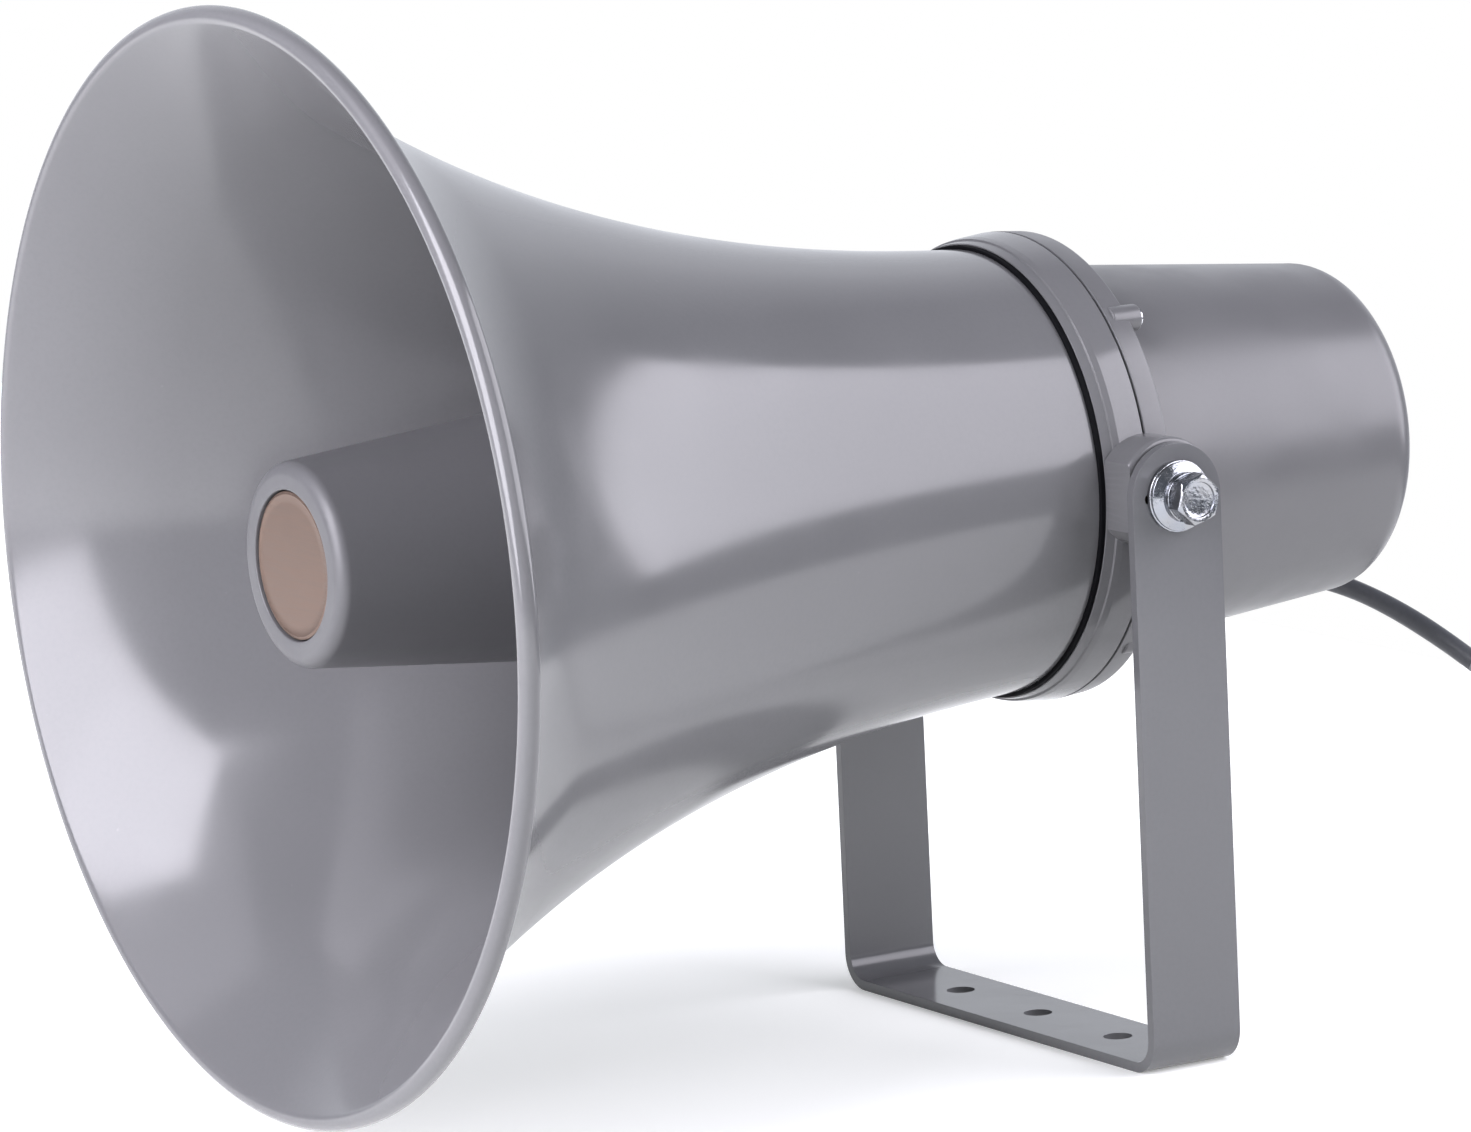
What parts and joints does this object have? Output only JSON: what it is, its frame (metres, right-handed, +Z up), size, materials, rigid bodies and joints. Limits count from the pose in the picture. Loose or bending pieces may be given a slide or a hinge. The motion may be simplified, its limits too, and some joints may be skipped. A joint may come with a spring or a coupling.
{
  "type": "horn loudspeaker",
  "caption": "Re-entrant horn loudspeaker with a flared metal bell, central reflector, tapered driver cover and tail cable, tilting on two bolts in a U-shaped mounting bracket.",
  "frame": {"origin": "centre of the bracket's underside, on its middle base hole", "axes": "+Z up along the bracket's arms, X along the tilt axis, mouth towards -Y at rest"},
  "size_m": [0.3118, 0.3985, 0.3224],
  "materials": {
    "grey_paint": "semi-gloss",
    "bracket_paint": "satin",
    "reflector_paint": "satin",
    "black_rubber": "matte",
    "bright_zinc": "bright zinc plate",
    "screw_steel": "zinc plate",
    "badge_metal": "satin bronze",
    "black_plastic": "matte",
    "diaphragm_alloy": "satin",
    "copper_wire": "enamelled copper",
    "surround_film": "matte",
    "magnet_steel": "zinc plate",
    "ferrite": "matte",
    "brass": "satin",
    "fibre": "matte",
    "cable_jacket": "satin",
    "wire_jacket": "gloss"
  },
  "bodies": {
    "bracket": {"bracket": "bracket_paint"},
    "horn": {"bell": "grey_paint", "bell_seal": "black_rubber", "bell_screws": "screw_steel", "front_flange": "grey_paint", "flange_gasket": "black_rubber", "rear_cover": "grey_paint", "cover_screws": "screw_steel", "throat_tube": "reflector_paint", "throat_screws": "screw_steel", "reflector": "reflector_paint", "reflector_screw": "screw_steel", "badge_disc": "badge_metal", "phase_plug": "black_plastic", "clamp_ring": "black_plastic", "surround": "surround_film", "basket_ring": "black_plastic", "top_plate": "magnet_steel", "magnet": "ferrite", "pole_yoke": "magnet_steel", "driver_screws": "screw_steel", "transformer_core": "magnet_steel", "transformer_winding": "copper_wire", "transformer_strap": "screw_steel", "strap_screws": "screw_steel", "terminal_block": "black_plastic", "terminal_screws": "brass", "lead_wires": "wire_jacket", "cable_grommet": "black_rubber", "cable_clamp": "screw_steel", "clamp_screw": "screw_steel", "cable": "cable_jacket", "spring_washers": "bright_zinc", "cone_washers": "bright_zinc", "flat_washers": "bright_zinc", "friction_washers": "fibre", "pivot_inserts": "brass"},
    "left_bolt": {"pivot_bolt_left": "bright_zinc"},
    "right_bolt": {"pivot_bolt_right": "bright_zinc"},
    "moving_coil": {"diaphragm": "diaphragm_alloy", "voice_coil": "copper_wire"}
  },
  "joints": [
    {"name": "horn_tilt", "type": "hinge", "parent": "bracket", "child": "horn", "pos_m": [0, 0, 0.1665], "axis": [-1, 0, 0], "range_deg": [-50, 90]},
    {"name": "left_bolt_turn", "type": "hinge", "parent": "horn", "child": "left_bolt", "pos_m": [-0.09, 0, 0.1665], "axis": [-1, 0, 0], "range_deg": [0, 180]},
    {"name": "right_bolt_turn", "type": "hinge", "parent": "horn", "child": "right_bolt", "pos_m": [0.09, 0, 0.1665], "axis": [1, 0, 0], "range_deg": [0, 180]},
    {"name": "diaphragm_travel", "type": "slide", "parent": "horn", "child": "moving_coil", "axis": [0, -1, 0], "range_m": [-0.0004, 0.0004]}
  ]
}
